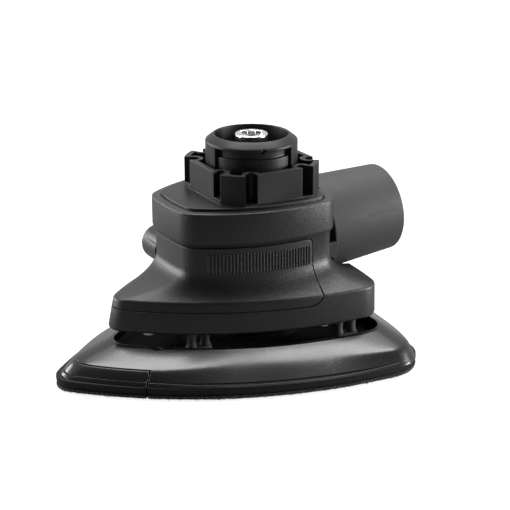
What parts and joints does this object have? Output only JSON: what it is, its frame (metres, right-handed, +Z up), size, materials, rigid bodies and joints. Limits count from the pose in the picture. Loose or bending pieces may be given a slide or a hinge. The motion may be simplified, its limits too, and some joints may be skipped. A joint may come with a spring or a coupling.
{
  "type": "orbital detail-sander head",
  "caption": "Pointed orbital sanding head for a multi-tool: coupling with chromed drive socket on top, domed platen with a replaceable tip, dust outlet at the heel.",
  "frame": {"origin": "on the sole, under the drive axis", "axes": "+Z up along the drive axis, +X from the pointed nose towards the heel and dust outlet, +Y to the left of someone looking along +X"},
  "size_m": [0.1366, 0.1046, 0.0832],
  "materials": {
    "housing_plastic": "fine moulded texture, satin-matt",
    "coupling_plastic": "smooth moulded, semi-gloss",
    "platen_plastic": "smooth satin",
    "tube_plastic": "matt, faint lengthwise drawing",
    "fan_plastic": "plain moulded",
    "leg_rubber": "dull",
    "foam": "closed-cell foam, dull",
    "hook": "hook-and-loop sheet",
    "chrome": "bright",
    "steel": "turned and ground",
    "cast_metal": "die-cast, machined seats"
  },
  "bodies": {
    "housing": {"main_housing": "housing_plastic", "front_cover": "housing_plastic", "side_screw": "steel", "coupling_collar": "coupling_plastic", "coupling_neck": "coupling_plastic", "bearing_carrier": "cast_metal", "carrier_screw_front_left": "steel", "carrier_screw_front_right": "steel", "carrier_screw_rear_left": "steel", "carrier_screw_rear_right": "steel", "upper_bearing_outer_race": "steel", "lower_bearing_outer_race": "steel", "bearing_circlip": "steel", "base_plate": "housing_plastic", "base_screw_front_left": "steel", "base_screw_front_right": "steel", "base_screw_rear_left": "steel", "base_screw_rear_right": "steel", "adapter_seal_ring": "leg_rubber"},
    "spindle": {"drive_shaft": "steel", "drive_socket": "chrome", "upper_bearing_inner_race": "steel", "lower_bearing_inner_race": "steel", "bearing_spacer": "steel", "dust_fan": "fan_plastic", "eccentric_counterweight": "cast_metal", "platen_bearing_inner_race": "steel", "platen_washer": "steel", "platen_centre_screw": "steel"},
    "platen": {"platen": "platen_plastic", "platen_bearing_outer_race": "steel", "leg_front_left": "leg_rubber", "leg_front_right": "leg_rubber", "leg_rear_left": "leg_rubber", "leg_rear_right": "leg_rubber", "leg_screw_front_left": "steel", "leg_screw_front_right": "steel", "leg_screw_rear_left": "steel", "leg_screw_rear_right": "steel", "foam_pad": "foam", "hook_sheet": "hook"},
    "tip": {"tip_holder": "platen_plastic", "tip_foam": "foam", "tip_hook_sheet": "hook"},
    "adapter": {"dust_adapter": "tube_plastic"}
  },
  "joints": [
    {"name": "spindle_spin", "type": "hinge", "parent": "housing", "child": "spindle", "pos_m": [0, 0, 0], "axis": [0, 0, 1], "continuous": true},
    {"name": "platen_orbit", "type": "hinge", "parent": "spindle", "child": "platen", "pos_m": [0.001, 0, 0], "axis": [0, 0, 1], "continuous": true},
    {"name": "tip_slide", "type": "slide", "parent": "platen", "child": "tip", "axis": [-1, 0, 0], "range_m": [0, 0.03]},
    {"name": "adapter_slide", "type": "slide", "parent": "housing", "child": "adapter", "axis": [0.9977, 0, 0.068], "range_m": [0, 0.012]}
  ],
  "couplings": [
    {"joint": "platen_orbit", "follows": "spindle_spin", "ratio": -1}
  ]
}
